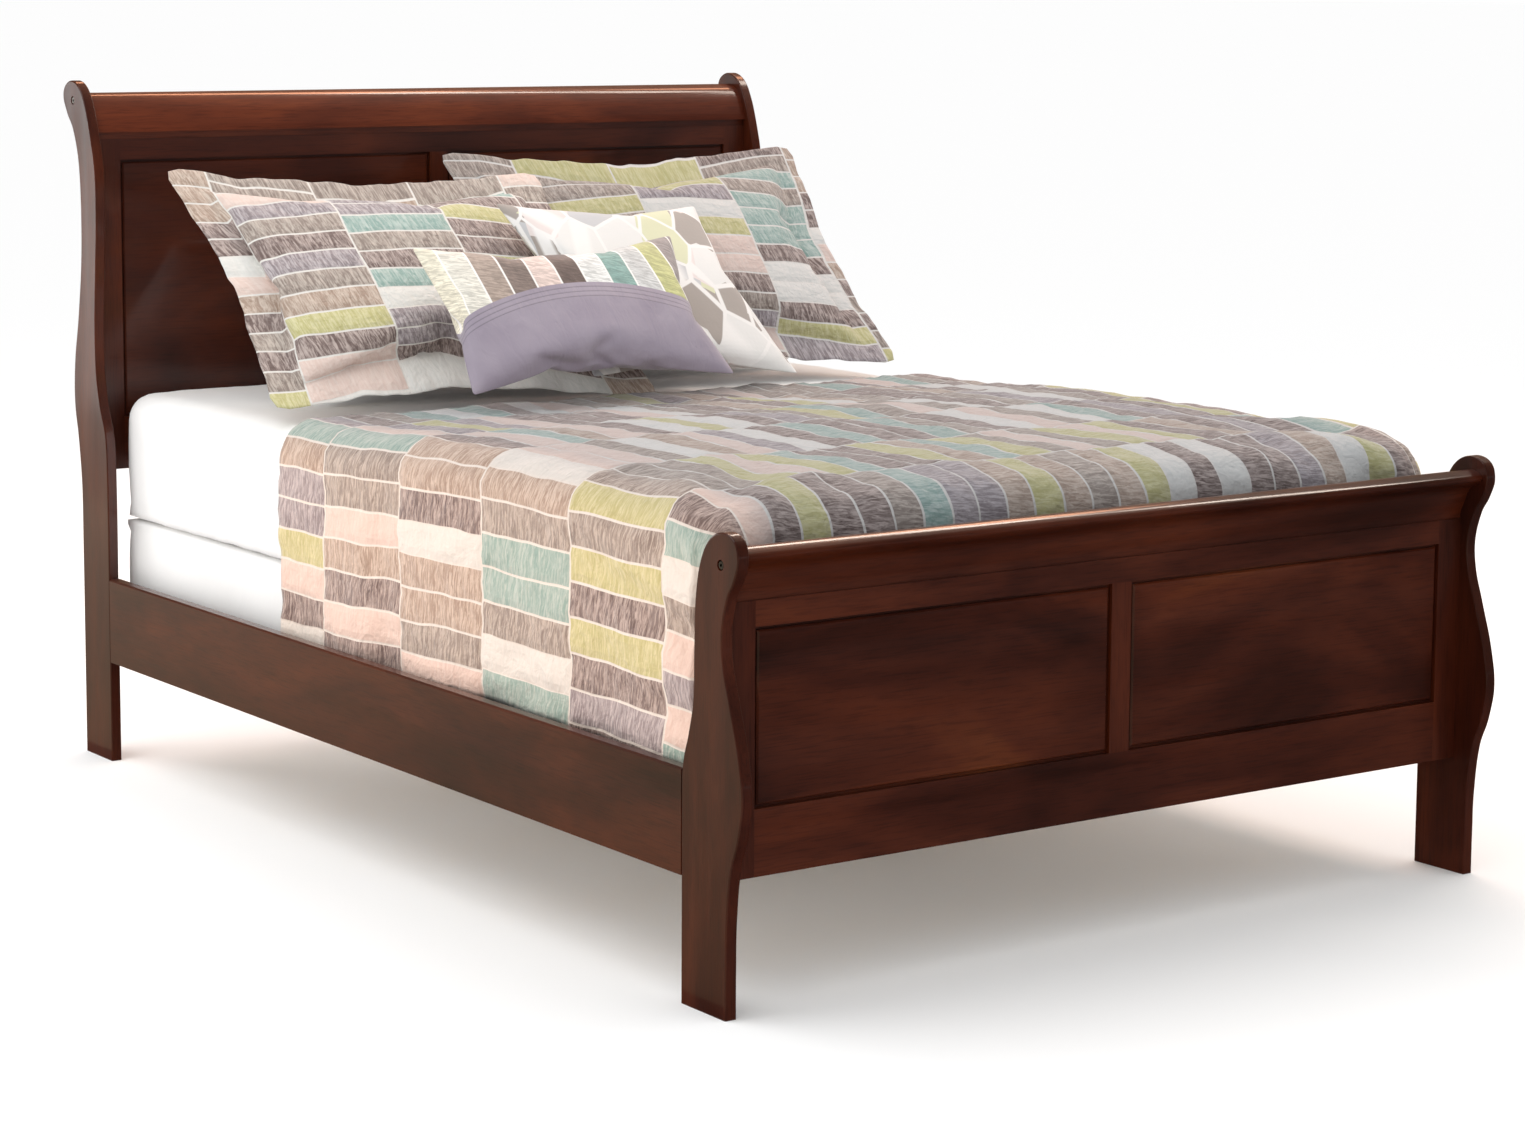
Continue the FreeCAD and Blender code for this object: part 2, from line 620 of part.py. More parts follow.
# Behind the shams two bed pillows lean on the headboard; each cushion rests on the one behind it.
bedPillow = dict(wide=480, tall=410, thick=80, seam=10, turn=0)
pillow("bed_pillow_left", place=(-260, headLine - 480, 682), lean=55, **bedPillow)
pillow("bed_pillow_right", place=(330, headLine - 394, 681), lean=51, **bedPillow)
pillow("sham_left", 740, 590, 115, 8, (-305, headLine - 675, 683), lean=51.2, spin=3)
pillow("sham_right", 735, 580, 115, 8, (276, headLine - 580, 695), lean=49, turn=-8)
pillow("square_pillow", 450, 440, 85, 6, (119, headLine - 742, 710), lean=49.7, turn=5, spin=4)
pillow("lumbar_pillow", 510, 325, 90, 6, (-138, headLine - 843, 717), lean=44.4, turn=-5, spin=-1)

# ---- checks, then one STEP file for each piece
doc.recompute()
for item in doc.Objects:
    if "Invalid" in item.State or "Error" in item.State:
        raise RuntimeError("%s is %s" % (item.Label, item.State))
for item in made:
    shape = item.Shape
    if shape.isNull() or not shape.isValid() or shape.Volume <= 0:
        raise RuntimeError(item.Label + " has no valid shape")
    shape.exportStep(os.path.join("parts", item.Label + ".step"))
print("%d pieces written" % len(made))
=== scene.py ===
import bpy
import bmesh
import math
from mathutils import Matrix, Vector, noise


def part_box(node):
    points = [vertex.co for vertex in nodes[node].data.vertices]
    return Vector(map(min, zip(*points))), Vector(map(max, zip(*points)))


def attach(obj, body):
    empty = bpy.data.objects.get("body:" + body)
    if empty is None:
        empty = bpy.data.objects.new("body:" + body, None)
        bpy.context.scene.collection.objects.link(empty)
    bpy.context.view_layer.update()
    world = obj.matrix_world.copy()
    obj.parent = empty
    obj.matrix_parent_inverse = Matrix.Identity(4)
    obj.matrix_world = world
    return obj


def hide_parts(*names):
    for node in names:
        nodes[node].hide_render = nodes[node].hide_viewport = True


# A sleigh bed in dark cherry with a patchwork comforter. Metres; +Y towards the headboard, +Z up.
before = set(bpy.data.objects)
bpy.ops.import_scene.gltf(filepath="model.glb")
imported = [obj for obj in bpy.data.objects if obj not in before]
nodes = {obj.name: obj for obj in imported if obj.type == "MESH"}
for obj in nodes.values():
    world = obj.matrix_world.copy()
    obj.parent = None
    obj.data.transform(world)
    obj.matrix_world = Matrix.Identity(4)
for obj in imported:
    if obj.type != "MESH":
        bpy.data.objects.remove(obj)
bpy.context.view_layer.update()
print("frame loaded:", len(nodes), "pieces")


def colour(hexText):
    channels = [int(hexText[n:n + 2], 16) / 255 for n in (1, 3, 5)]
    return tuple(c / 12.92 if c < 0.04045 else ((c + 0.055) / 1.055) ** 2.4 for c in channels) + (1.0,)


# adds one node: settings are its properties, sockets are values, other nodes or their outputs
def addNode(tree, kind, settings=None, **sockets):
    node = tree.nodes.new("ShaderNode" + kind)
    for name, value in (settings or {}).items():
        setattr(node, name, value)
    for name, value in sockets.items():
        socket = node.inputs[int(name[1:])] if name[0] == "n" and name[1:].isdigit() else node.inputs[name]
        if isinstance(value, bpy.types.Node):
            value = value.outputs[0]
        if isinstance(value, bpy.types.NodeSocket):
            tree.links.new(value, socket)
        else:
            socket.default_value = value
    return node


def newMaterial(name):
    material = bpy.data.materials.new(name)
    material.use_nodes = True
    tree = material.node_tree
    shader = tree.nodes["Principled BSDF"]
    return material, tree, shader


def setRamp(node, stops, interpolation="LINEAR"):
    ramp = node.color_ramp
    ramp.interpolation = interpolation
    while len(ramp.elements) > 1:
        ramp.elements.remove(ramp.elements[-1])
    ramp.elements[0].position, ramp.elements[0].color = stops[0]
    for position, shade in stops[1:]:
        ramp.elements.new(position).color = shade
    return node


# ---------- wood
# stained and lacquered hardwood: dark cherry stain lies blotchy over fine grain, under a semi-gloss coat
cherry = {
    "dark": "#240903", "body": "#3f1506", "warm": "#54210a", "glow": "#70360f",
    "grainMm": 2.2,          # spacing of the pores across the grain
    "streakMm": 45,          # width of the broad stain streaks
    "blotchMm": 190,         # clouds of lighter stain
    "roughness": 0.42, "coat": 0.65, "coatRoughness": 0.1,
}


def cherryWood(name, along, brightness=1.0, seed=0.0, streaky=0.28):
    material, tree, shader = newMaterial(name)
    place = addNode(tree, "TexCoord").outputs["Object"]
    stretch = [1.0, 1.0, 1.0]
    stretch[along] = 0.045
    run = addNode(tree, "Mapping", Vector=place, Scale=stretch, Location=(seed, seed * 0.7, seed * 1.3))
    easy = [1.0, 1.0, 1.0]
    easy[along] = 0.4
    cloud = addNode(tree, "Mapping", Vector=place, Scale=easy, Location=(seed * 2, seed, 0))
    pores = addNode(tree, "TexNoise", Vector=run.outputs[0], Scale=1000 / cherry["grainMm"], Detail=3.0,
                    Roughness=0.6)
    streaks = addNode(tree, "TexNoise", Vector=run.outputs[0], Scale=1000 / cherry["streakMm"], Detail=4.0,
                      Roughness=0.55, Distortion=0.6)
    blotch = addNode(tree, "TexNoise", Vector=cloud.outputs[0], Scale=1000 / cherry["blotchMm"], Detail=3.0,
                     Roughness=0.5, Distortion=0.8)
    tone = addNode(tree, "Mix", {"data_type": "FLOAT"}, Factor=streaky, n2=blotch.outputs[0],
                   n3=streaks.outputs[0])
    shade = [colour(cherry[k]) for k in ("dark", "body", "warm", "glow")]
    shade = [tuple(min(1, c * brightness) for c in s[:3]) + (1.0,) for s in shade]
    stain = setRamp(addNode(tree, "ValToRGB", Fac=tone.outputs[0]),
                    [(0.28, shade[0]), (0.46, shade[1]), (0.62, shade[2]), (0.82, shade[3])])
    poreTone = setRamp(addNode(tree, "ValToRGB", Fac=pores.outputs[0]),
                       [(0.34, (0.62, 0.58, 0.56, 1)), (0.52, (1, 1, 1, 1))])
    worked = addNode(tree, "Mix", {"data_type": "RGBA", "blend_type": "MULTIPLY"}, n0=0.8,
                     n6=stain.outputs[0], n7=poreTone.outputs[0])
    tree.links.new(worked.outputs[2], shader.inputs["Base Color"])
    rough = addNode(tree, "MapRange", n0=streaks.outputs[0], n1=0.3, n2=0.7,
                    n3=cherry["roughness"] - 0.06, n4=cherry["roughness"] + 0.1)
    tree.links.new(rough.outputs[0], shader.inputs["Roughness"])
    # the sprayed lacquer has a slight orange peel over the pores
    peel = addNode(tree, "TexNoise", Vector=place, Scale=260.0, Detail=1.0)
    height = addNode(tree, "Math", {"operation": "ADD"}, n0=pores.outputs[0], n1=peel.outputs[0])
    bump = addNode(tree, "Bump", Strength=0.09, Distance=0.0006, Height=height.outputs[0])
    tree.links.new(bump.outputs[0], shader.inputs["Normal"])
    shader.inputs["IOR"].default_value = 1.5
    shader.inputs["Specular IOR Level"].default_value = 0.2      # the stained wood lies under its lacquer
    shader.inputs["Coat Weight"].default_value = cherry["coat"]
    shader.inputs["Coat Roughness"].default_value = cherry["coatRoughness"]
    return material


# bare planed pine, dry and matte, with growth rings along the board
pine = {"early": "#d9b98a", "late": "#b98f5c", "ringMm": 7, "roughness": 0.62}


def planedPine(name, along):
    material, tree, shader = newMaterial(name)
    place = addNode(tree, "TexCoord").outputs["Object"]
    stretch = [1.0, 1.0, 1.0]
    stretch[along] = 0.05
    run = addNode(tree, "Mapping", Vector=place, Scale=stretch)
    rings = addNode(tree, "TexNoise", Vector=run.outputs[0], Scale=1000 / (pine["ringMm"] * 3), Detail=2.0)
    bands = addNode(tree, "Math", {"operation": "PINGPONG"}, n0=rings.outputs[0], n1=0.045)
    spread = addNode(tree, "MapRange", n0=bands.outputs[0], n1=0.0, n2=0.045)
    wood = setRamp(addNode(tree, "ValToRGB", Fac=spread.outputs[0]),
                   [(0.1, colour(pine["late"])), (0.6, colour(pine["early"]))])
    tree.links.new(wood.outputs[0], shader.inputs["Base Color"])
    fibre = addNode(tree, "TexNoise", Vector=run.outputs[0], Scale=700.0, Detail=2.0)
    bump = addNode(tree, "Bump", Strength=0.2, Distance=0.0005, Height=fibre.outputs[0])
    tree.links.new(bump.outputs[0], shader.inputs["Normal"])
    shader.inputs["Roughness"].default_value = pine["roughness"]
    return material


# zinc-plated steel: fine spangle and a little tarnish
def zincSteel(name, shade, roughness):
    material, tree, shader = newMaterial(name)
    place = addNode(tree, "TexCoord").outputs["Object"]
    spangle = addNode(tree, "TexVoronoi", Vector=place, Scale=420.0)
    tarnish = addNode(tree, "TexNoise", Vector=place, Scale=60.0, Detail=3.0)
    tint = addNode(tree, "MapRange", n0=tarnish.outputs[0], n1=0.3, n2=0.75, n3=0.72, n4=1.0)
    grey = addNode(tree, "Mix", {"data_type": "RGBA", "blend_type": "MULTIPLY"}, n0=1.0,
                   n6=colour(shade), n7=tint.outputs[0])
    tree.links.new(grey.outputs[2], shader.inputs["Base Color"])
    rough = addNode(tree, "MapRange", n0=spangle.outputs[0], n1=0.0, n2=0.7, n3=roughness - 0.07,
                    n4=roughness + 0.08)
    tree.links.new(rough.outputs[0], shader.inputs["Roughness"])
    shader.inputs["Metallic"].default_value = 1.0
    return material


# ---------- cloth
# crossed threads as a height, drawn at 1.6 mm because the real 0.4 mm weave is too fine to show
def weave(tree, uv, threadMm=1.6):
    waves = []
    for direction in ("X", "Y"):
        waves.append(addNode(tree, "TexWave", {"bands_direction": direction, "wave_profile": "SIN"},
                             Vector=uv, Scale=1000 / threadMm / 20, Distortion=0.6, Detail=1.0).outputs[1])
    return addNode(tree, "Math", {"operation": "MULTIPLY"}, n0=waves[0], n1=waves[1]).outputs[0]


def softShader(shader, roughness=0.85, sheen=0.25):
    shader.inputs["Roughness"].default_value = roughness
    shader.inputs["Sheen Weight"].default_value = sheen
    shader.inputs["Sheen Roughness"].default_value = 0.5
    shader.inputs["Specular IOR Level"].default_value = 0.3


# percale cotton: smooth, white, soft creases
def whiteCotton(name, light="#f4f3f1", shadow="#e6e5e4", creaseMm=60):
    material, tree, shader = newMaterial(name)
    place = addNode(tree, "TexCoord").outputs["Object"]
    cloud = addNode(tree, "TexNoise", Vector=place, Scale=7.0, Detail=3.0)
    tint = addNode(tree, "Mix", {"data_type": "RGBA"}, n0=cloud.outputs[0], n6=colour(light),
                   n7=colour(shadow))
    tree.links.new(tint.outputs[2], shader.inputs["Base Color"])
    crease = addNode(tree, "TexNoise", Vector=place, Scale=1000 / creaseMm, Detail=3.0, Distortion=1.2)
    first = addNode(tree, "Bump", Strength=0.25, Distance=0.004, Height=crease.outputs[0])
    second = addNode(tree, "Bump", Strength=0.12, Distance=0.0006, Height=weave(tree, place),
                     Normal=first.outputs[0])
    tree.links.new(second.outputs[0], shader.inputs["Normal"])
    softShader(shader)
    return material


# printed and pieced cotton: bricks in staggered columns, each brushed with streaks across its short side
patchwork = {
    "columnMm": 250, "rowMm": 52, "shamColumnMm": 195, "shamRowMm": 47, "seamMm": 4, "streakMm": 4.5,
    # share of the bricks, brush colour over ground colour
    "prints": [(0.22, "#75635f", "#c9bbb5"), (0.19, "#94877f", "#d0c6bc"), (0.10, "#b09a8a", "#dfd0c2"),
               (0.10, "#c9c68b", "#e3e0b2"), (0.08, "#97b7b0", "#c6d8d2"), (0.13, "#ecd6cc", "#f3e2d9"),
               (0.09, "#eceeea", "#f3f3ef"), (0.09, "#958b8f", "#d0c9cc")],
}


def patchworkCotton(name, columnMm, rowMm, seed=0.0, turned=False, side=None, faded=0.32):
    column, row = columnMm / 1000, rowMm / 1000
    material, tree, shader = newMaterial(name)
    add, times, divide, least, subtract = (
        {"operation": o} for o in ("ADD", "MULTIPLY", "DIVIDE", "MINIMUM", "SUBTRACT"))
    uv = addNode(tree, "UVMap", {"uv_map": "cloth"})
    parts = addNode(tree, "SeparateXYZ", n0=uv)
    across, along = parts.outputs[0], parts.outputs[1]
    if turned:
        across, along = along, across

    # the bricks' seams wander by up to 6 mm, and each column is shifted against its neighbours
    drift = addNode(tree, "TexNoise", Vector=uv, Scale=9.0, Detail=1.0)
    wobble = addNode(tree, "Math", {"operation": "MULTIPLY_ADD"}, n0=drift, n1=0.012, n2=-0.006)
    columnPlace = addNode(tree, "Math", add, n0=along, n1=wobble)
    columnPlace = addNode(tree, "Math", divide, n0=columnPlace, n1=column)
    columnPlace = addNode(tree, "Math", add, n0=columnPlace, n1=seed + 40)
    columnNumber = addNode(tree, "Math", {"operation": "FLOOR"}, n0=columnPlace)
    shift = addNode(tree, "TexWhiteNoise", {"noise_dimensions": "1D"}, W=columnNumber)
    rowPlace = addNode(tree, "Math", add, n0=across, n1=wobble)
    rowPlace = addNode(tree, "Math", divide, n0=rowPlace, n1=row)
    rowPlace = addNode(tree, "Math", add, n0=rowPlace, n1=shift)
    rowPlace = addNode(tree, "Math", add, n0=rowPlace, n1=60)
    rowNumber = addNode(tree, "Math", {"operation": "FLOOR"}, n0=rowPlace)
    cell = addNode(tree, "CombineXYZ", X=columnNumber, Y=rowNumber)
    pick = addNode(tree, "TexWhiteNoise", {"noise_dimensions": "2D"}, Vector=cell)
    brushStops, groundStops, share = [], [], 0.0
    for amount, brush, ground in patchwork["prints"]:
        brushStops.append((share, colour(brush)))
        groundStops.append((share, colour(ground)))
        share += amount
    brushShade = setRamp(addNode(tree, "ValToRGB", Fac=pick), brushStops, "CONSTANT")
    groundShade = setRamp(addNode(tree, "ValToRGB", Fac=pick), groundStops, "CONSTANT")

    # brush marks run across the brick's short side, a little slanted
    perMetre = 1000 / patchwork["streakMm"]
    lengthways = addNode(tree, "Math", times, n0=across, n1=0.16 * perMetre)
    leaning = addNode(tree, "Math", times, n0=across, n1=0.12)
    leaning = addNode(tree, "Math", add, n0=along, n1=leaning)
    crossways = addNode(tree, "Math", times, n0=leaning, n1=perMetre)
    slant = addNode(tree, "CombineXYZ", X=lengthways, Y=crossways, Z=pick)
    marks = addNode(tree, "TexNoise", Vector=slant, Scale=1.0, Detail=4.0, Roughness=0.65, Distortion=0.9)
    hard = addNode(tree, "MapRange", n0=marks, n1=0.42, n2=0.60)
    printed = addNode(tree, "Mix", {"data_type": "RGBA"}, n0=hard, n6=brushShade, n7=groundShade)
    fade = addNode(tree, "TexNoise", Vector=uv, Scale=14.0, Detail=2.0)
    fadeShare = addNode(tree, "MapRange", n0=fade, n1=0.35, n2=0.8, n3=0.0, n4=faded)
    printed = addNode(tree, "Mix", {"data_type": "RGBA"}, n0=fadeShare, n6=printed.outputs[2], n7=groundShade)

    # pale stitched seams between the bricks
    lines = []
    for position, width in ((columnPlace, column), (rowPlace, row)):
        within = addNode(tree, "Math", {"operation": "FRACT"}, n0=position)
        opposite = addNode(tree, "Math", subtract, n0=1.0, n1=within)
        edge = addNode(tree, "Math", least, n0=within, n1=opposite)
        lines.append(addNode(tree, "Math", times, n0=edge, n1=width))
    nearest = addNode(tree, "Math", least, n0=lines[0], n1=lines[1])
    seamWide = patchwork["seamMm"] / 1000
    seam = addNode(tree, "MapRange", n0=nearest, n1=seamWide / 2.6, n2=seamWide / 1.7, n3=1.0, n4=0.0)
    whole = addNode(tree, "Mix", {"data_type": "RGBA"}, n0=seam, n6=printed.outputs[2], n7=colour("#f2f1ec"))
    if side:
        # painted light: the print is tinted cooler and greyer on top and warmer on the hanging sides, as the
        # light falls from above
        hanging = addNode(tree, "Math", {"operation": "ABSOLUTE"}, n0=parts.outputs[0])
        warm = addNode(tree, "MapRange", n0=hanging, n1=side[0], n2=side[1])
        paintedLightCast = addNode(tree, "Mix", {"data_type": "RGBA"}, n0=warm, n6=colour(side[2]), n7=colour(side[3]))
        whole = addNode(tree, "Mix", {"data_type": "RGBA", "blend_type": "MULTIPLY"}, n0=1.0,
                        n6=whole.outputs[2], n7=paintedLightCast.outputs[2])
    tree.links.new(whole.outputs[2], shader.inputs["Base Color"])

    # the cloth puffs up between the seams, puckers along them and lies in small crinkles
    puff = addNode(tree, "MapRange", n0=nearest, n1=0.0, n2=0.012, n3=0.0, n4=1.0)
    pucker = addNode(tree, "TexNoise", Vector=uv, Scale=55.0, Detail=2.0, Distortion=0.8)
    pucker = addNode(tree, "Math", times, n0=pucker, n1=1.3)
    crinkle = addNode(tree, "TexNoise", Vector=uv, Scale=19.0, Detail=3.0, Distortion=1.4)
    crinkle = addNode(tree, "Math", times, n0=crinkle, n1=2.2)
    height = addNode(tree, "Math", add, n0=puff, n1=pucker)
    height = addNode(tree, "Math", add, n0=height, n1=crinkle)
    first = addNode(tree, "Bump", Strength=0.55, Distance=0.004, Height=height)
    second = addNode(tree, "Bump", Strength=0.15, Distance=0.0006, Height=weave(tree, uv), Normal=first)
    tree.links.new(second.outputs[0], shader.inputs["Normal"])
    softShader(shader)
    return material


# ---------- the wooden frame, kept from the CAD
across = cherryWood("cherryLacquerAcross", 0)
upright = cherryWood("cherryLacquerUpright", 2, seed=3.1)
lengthwise = cherryWood("cherryLacquerLengthwise", 1, seed=5.7)
panelWood = cherryWood("cherryVeneerPanel", 0, brightness=0.92, seed=1.9, streaky=0.12)
# the headboard crest gets a copy of the lacquered cherry made 1.5 times brighter: painted light where the crest
# catches more light
crestWoodPaintedLight = cherryWood("cherryLacquerCrestPaintedLight", 0, brightness=1.5, seed=4.4, streaky=0.35)
pineAcross = planedPine("planedPineAcross", 0)
pineLong = planedPine("planedPineLong", 1)
darkBolt = zincSteel("darkZincBolt", "#57524d", 0.32)
yellowScrew = zincSteel("yellowZincScrew", "#b9a878", 0.34)
brightPlate = zincSteel("brightZincPlate", "#b4b6b8", 0.3)
sheetWhite = whiteCotton("percaleSheet")
coverWhite = whiteCotton("foundationCover", "#f4f3f1", "#ebeae8", 90)

# the first entry whose text is in a node's name sets its finish
finishes = [("headboard_crest", crestWoodPaintedLight), ("_crest", across), ("_rail_left", lengthwise),
            ("_rail_right", lengthwise), ("_rail", across), ("_post_", upright), ("_stile_", upright),
            ("_mullion", upright), ("_panel_", panelWood),
            ("side_cleat", pineLong), ("_bolts", darkBolt),
            ("_screws", yellowScrew), ("_plate_", brightPlate), ("slat_", pineAcross)]
for name, node in nodes.items():
    for part, material in finishes:
        if part in name:
            node.data.materials.clear()
            node.data.materials.append(material)
            break
print("frame finished")


# ---------- soft goods
def fromPoints(name, points, faces, uvs=None):
    mesh = bpy.data.meshes.new(name)
    mesh.from_pydata(points, [], faces)
    if uvs:
        layer = mesh.uv_layers.new(name="cloth")
        for loop in mesh.loops:
            layer.data[loop.index].uv = uvs[loop.vertex_index]
    item = bpy.data.objects.new(name, mesh)
    bpy.context.collection.objects.link(item)
    return item


def only(item):
    bpy.ops.object.select_all(action="DESELECT")
    item.select_set(True)
    bpy.context.view_layer.objects.active = item


def wrinkle(point, size, detail=3):
    return noise.fractal(Vector(point) / size, 1.0, 2.0, detail)


mattressLow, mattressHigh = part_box("mattress")
coverLow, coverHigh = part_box("comforter")

# the comforter is one quilted sheet wrapped over the mattress edges and two foot corners
comforterSizes = {
    "step": 0.0095,                         # mesh spacing
    "edgeRound": 0.066,                     # radius over the mattress edge
    "thick": 0.010, "hem": 0.375,
    "headEdge": coverHigh.y + 0.030,
    "corner": 8,                            # squareness of the two foot corners
    "fullness": 0.026,                      # crown of the filling
    "crownStart": 0.16, "crownRun": 0.40,   # where it rises, in front of the cushions
    "broadWrinkle": 0.0050, "fineWrinkle": 0.0034,
    "sideFold": 0.0035, "cornerFold": 0.006, "cornerFoldReach": 0.6,
    "topLimit": 0.012, "sideLimit": 0.006,  # the most that a wrinkle stands out
}


def buildComforter(s):
    halfWide = coverHigh.x
    footEdge = coverLow.y
    top = coverHigh.z
    r = s["edgeRound"]
    turn = r * math.pi / 2
    halfFlat = halfWide - r + turn + s["hem"] - r
    longFlat = s["headEdge"] - footEdge - r + turn + s["hem"] - r
    countU = int(2 * halfFlat / s["step"])
    countV = int(longFlat / s["step"])
    points, uvs = [], []
    for j in range(countV + 1):
        v = s["headEdge"] - longFlat * j / countV
        for i in range(countU + 1):
            u = -halfFlat + 2 * halfFlat * i / countU
            cx = max(-(halfWide - r), min(halfWide - r, u))
            cy = max(v, footEdge + r)
            du, dv = abs(u - cx), cy - v
            far = max(du, dv)
            angle = 0.0
            if far > 0:
                far = (du ** s["corner"] + dv ** s["corner"]) ** (1 / s["corner"])
                angle = math.atan2(dv, du)
            bend = min(far / r, math.pi / 2)
            out, drop = r * math.sin(bend), r * (1 - math.cos(bend))
            if far > turn:
                drop += far - turn
            sideX = math.copysign(1, u) if du > 0 else 0
            heading = Vector((math.cos(angle) * sideX if du > 0 else 0, -math.sin(angle) if dv > 0 else 0, 0))
            point = Vector((cx, cy, top - drop)) + heading * out
            normal = Vector((0, 0, 1))
            if far > 0:
                normal = heading * math.sin(bend) + Vector((0, 0, math.cos(bend)))
            # crown of the filling, lower where the cushions rest
            fill = max(0.0, 1 - 0.45 * abs(cx / halfWide) ** 6)
            fill *= min(1, max(0, (s["crownStart"] - cy) / s["crownRun"]))
            fill *= min(1, max(0.0, (cy - footEdge) / 0.12)) ** 0.5
            lift = s["fullness"] * fill
            flat = (u, v, 0.0)
            hanging = min(1.0, max(0.0, (far - 0.04) / 0.10))
            loose = s["broadWrinkle"] * wrinkle(flat, 0.17)
            loose += s["fineWrinkle"] * wrinkle((u * 1.7 + 3, v * 0.8, 1), 0.055)
            # soft folds that fall down the sides, and folds that run out from each foot corner
            phase = v * 21 + 1.5 * wrinkle((v, 0, 0), 0.3) if du > dv else u * 17 + 1.0
            loose += hanging * s["sideFold"] * math.sin(phase)
            toCorner = math.hypot(abs(u) - halfWide, v - footEdge)
            if toCorner < s["cornerFoldReach"]:
                spoke = math.atan2(v - footEdge + 0.25, halfWide - abs(u) + 0.25)
                fade = math.exp(-((toCorner - 0.2) / 0.2) ** 2)
                loose += s["cornerFold"] * fade * math.sin(spoke * 22 + 2 * wrinkle(flat, 0.25))
            if du > 0 and dv > 0:
                loose += 0.004 * hanging * math.cos(angle * 14)
            limit = s["sideLimit"] if far > 0.05 else s["topLimit"]
            loose = max(-limit, min(limit, loose)) - 0.003 * hanging
            point += normal * loose + Vector((0, 0, lift))
            points.append(point)
            uvs.append((u, v))
    wide = countU + 1
    faces = []
    for j in range(countV):
        for i in range(countU):
            a = j * wide + i
            faces.append((a, a + wide, a + wide + 1, a + 1))
    item = fromPoints("comforter_cover", points, faces, uvs)
    mesh = item.data
    mesh.polygons.foreach_set("use_smooth", [True] * len(mesh.polygons))
    only(item)
    shell = item.modifiers.new("filling", "SOLIDIFY")
    shell.thickness = s["thick"]
    shell.offset = -1
    bpy.ops.object.modifier_apply(modifier=shell.name)
    # the side tint shades the top a cool grey and warms the hanging sides: painted light
    material = patchworkCotton("patchworkComforter", patchwork["columnMm"], patchwork["rowMm"], seed=0.34,
                               side=(0.60, 0.74, "#b4b5b9", "#f9e7dc"))
    item.data.materials.append(material)
    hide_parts("comforter")
    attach(item, "mattress")
    return item


# mattress and foundation: boxes with eased corners under fitted cotton
mattressSizes = {"inset": (0.006, 0.006, 0.001), "bulge": 0.005, "creases": 0.0022, "topRound": 0.045}
foundationSizes = {"inset": (0.006, 0.008, 0.0), "bulge": 0.004, "creases": 0.0012, "topRound": 0.008}


def buildBlock(name, node, s, material, body):
    low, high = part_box(node)
    low, high = low + Vector(s["inset"]), high - Vector(s["inset"])
    topRound = s["topRound"]
    bpy.ops.object.select_all(action="DESELECT")
    bpy.ops.mesh.primitive_cube_add(size=1, location=(low + high) / 2)
    item = bpy.context.object
    item.name = name
    item.scale = high - low
    bpy.ops.object.transform_apply(location=True, rotation=True, scale=True)
    bpy.ops.object.mode_set(mode="EDIT")
    bpy.ops.mesh.select_all(action="SELECT")
    bpy.ops.mesh.bevel(offset=0.006, segments=2, profile=0.5, affect="EDGES")
    bpy.ops.object.mode_set(mode="OBJECT")
    centre, half = (low + high) / 2, (high - low) / 2
    remesh = item.modifiers.new("even", "REMESH")
    remesh.mode = "VOXEL"
    remesh.voxel_size = 0.0135
    bpy.ops.object.modifier_apply(modifier=remesh.name)
    ease = item.modifiers.new("ease", "SMOOTH")
    ease.factor = 0.5
    ease.iterations = 2
    bpy.ops.object.modifier_apply(modifier=ease.name)
    for vertex in item.data.vertices:
        # roll the top edge and the upright corners in
        gap = [max(0.0, abs(vertex.co[n] - centre[n]) - (half[n] - topRound)) for n in range(3)]
        if vertex.co.z < centre.z:
            gap[2] = 0.0
        reach = math.sqrt(sum(g * g for g in gap))
        if reach > topRound:
            for n in range(3):
                if gap[n]:
                    vertex.co[n] -= math.copysign(gap[n] * (1 - topRound / reach), vertex.co[n] - centre[n])
    item.data.update()
    normals = [vertex.normal.copy() for vertex in item.data.vertices]
    for vertex, normal in zip(item.data.vertices, normals):
        away = vertex.co - centre
        rise = away.z / half.z
        swell = s["bulge"] * max(0, 1 - rise ** 2)
        for axis in (0, 1):
            if abs(away[axis]) > half[axis] - 0.03:
                vertex.co[axis] += math.copysign(swell, away[axis])
        # edges that meet the neighbouring block stay square
        if abs(away.z) > half.z - 0.02 and (away.z < 0 or topRound < 0.02):
            for axis in (0, 1):
                if abs(away[axis]) > half[axis] - 0.010:
                    vertex.co[axis] = centre[axis] + math.copysign(half[axis], away[axis])
        vertex.co += normal * s["creases"] * (wrinkle(vertex.co, 0.20) + 0.5 * wrinkle(vertex.co, 0.07))
    bpy.ops.object.shade_smooth()
    item.data.materials.append(material)
    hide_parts(node)
    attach(item, body)
    return item


buildBlock("mattress_sheeted", "mattress", mattressSizes, sheetWhite, "mattress")
buildBlock("foundation_covered", "foundation", foundationSizes, coverWhite, "bed_frame")
buildComforter(comforterSizes)
print("mattress, foundation and comforter made")


